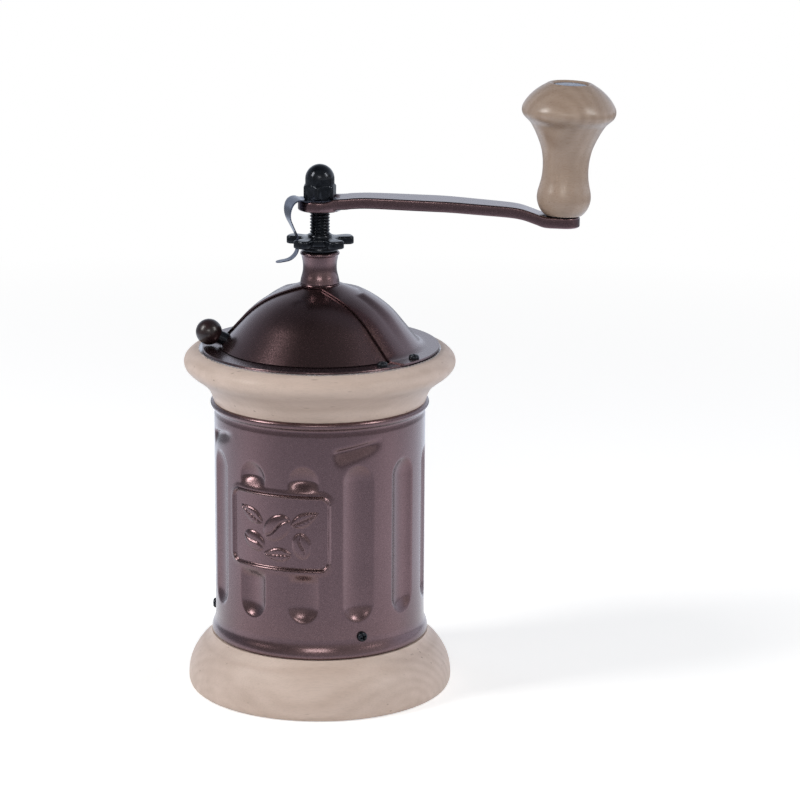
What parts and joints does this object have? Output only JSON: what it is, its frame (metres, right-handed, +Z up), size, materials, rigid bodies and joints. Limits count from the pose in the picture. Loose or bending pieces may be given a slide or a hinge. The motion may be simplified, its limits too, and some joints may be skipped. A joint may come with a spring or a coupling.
{
  "type": "hand crank coffee grinder",
  "caption": "Hand crank coffee grinder: turned wooden base and top ring, fluted sheet metal body, domed lid with a sliding filling door, latched adjuster and a crank with a wooden knob.",
  "frame": {"origin": "centre of the wooden foot's underside, on the table, on the axis of the body and the shaft", "axes": "+Z up along the shaft, +X along the crank arm as stored, -Y towards the front"},
  "size_m": [0.1727, 0.1098, 0.249],
  "materials": {
    "beech": "satin",
    "knob_beech": "lacquered",
    "bronze_paint": "satin metallic",
    "dark_ball": "gloss",
    "blackened_steel": "gloss black",
    "spring_steel": "polished",
    "tin_plate": "bright",
    "tool_steel": "ground",
    "cast_iron": "as cast",
    "bronze_bush": "machined"
  },
  "bodies": {
    "stand": {"base": "beech", "body_shell": "bronze_paint", "body_screws": "blackened_steel"},
    "top": {"top_ring": "beech", "hopper": "tin_plate", "hopper_screws": "tin_plate", "burr_housing": "cast_iron", "outer_burr": "tool_steel", "bearing_bridge": "cast_iron", "bridge_screws": "tin_plate", "shaft_bush": "bronze_bush", "lid_ring": "bronze_paint", "hood": "bronze_paint", "hood_screws": "blackened_steel", "stop_screw": "blackened_steel", "neck_bushing": "bronze_paint", "neck_ring": "bronze_paint", "neck_nut": "tin_plate"},
    "door": {"door": "bronze_paint", "door_stud": "tin_plate", "knob_collar": "blackened_steel", "door_knob": "dark_ball"},
    "spindle": {"shaft": "blackened_steel", "inner_burr": "tool_steel", "burr_nut": "tin_plate", "crank_arm": "bronze_paint", "cap_nut": "blackened_steel", "latch_root": "spring_steel", "knob_axle": "spring_steel", "knob_washer": "blackened_steel"},
    "adjuster": {"adjuster_star": "blackened_steel"},
    "latch": {"latch_leaf": "spring_steel"},
    "knob": {"hand_knob": "knob_beech"}
  },
  "joints": [
    {"name": "top_lift", "type": "slide", "parent": "stand", "child": "top", "axis": [0, 0, 1], "range_m": [0, 0.11]},
    {"name": "door_slide", "type": "hinge", "parent": "top", "child": "door", "pos_m": [0, 0, 0.145], "axis": [0, 0, 1], "range_deg": [0, 116]},
    {"name": "crank_spin", "type": "hinge", "parent": "top", "child": "spindle", "pos_m": [0, 0, 0.19], "axis": [0, 0, -1], "continuous": true},
    {"name": "adjuster_turn", "type": "hinge", "parent": "spindle", "child": "adjuster", "pos_m": [0, 0, 0.185], "axis": [0, 0, 1], "range_deg": [-2, 2]},
    {"name": "latch_release", "type": "hinge", "parent": "spindle", "child": "latch", "pos_m": [-0.00893, -0.00239, 0.2025], "axis": [-0.2588, 0.9659, 0], "range_deg": [0, 18], "stiffness_Nm_per_rad": 0.4},
    {"name": "knob_spin", "type": "hinge", "parent": "spindle", "child": "knob", "pos_m": [0.0972, 0, 0.19532], "axis": [0.0419, 0, 0.9991], "continuous": true}
  ]
}
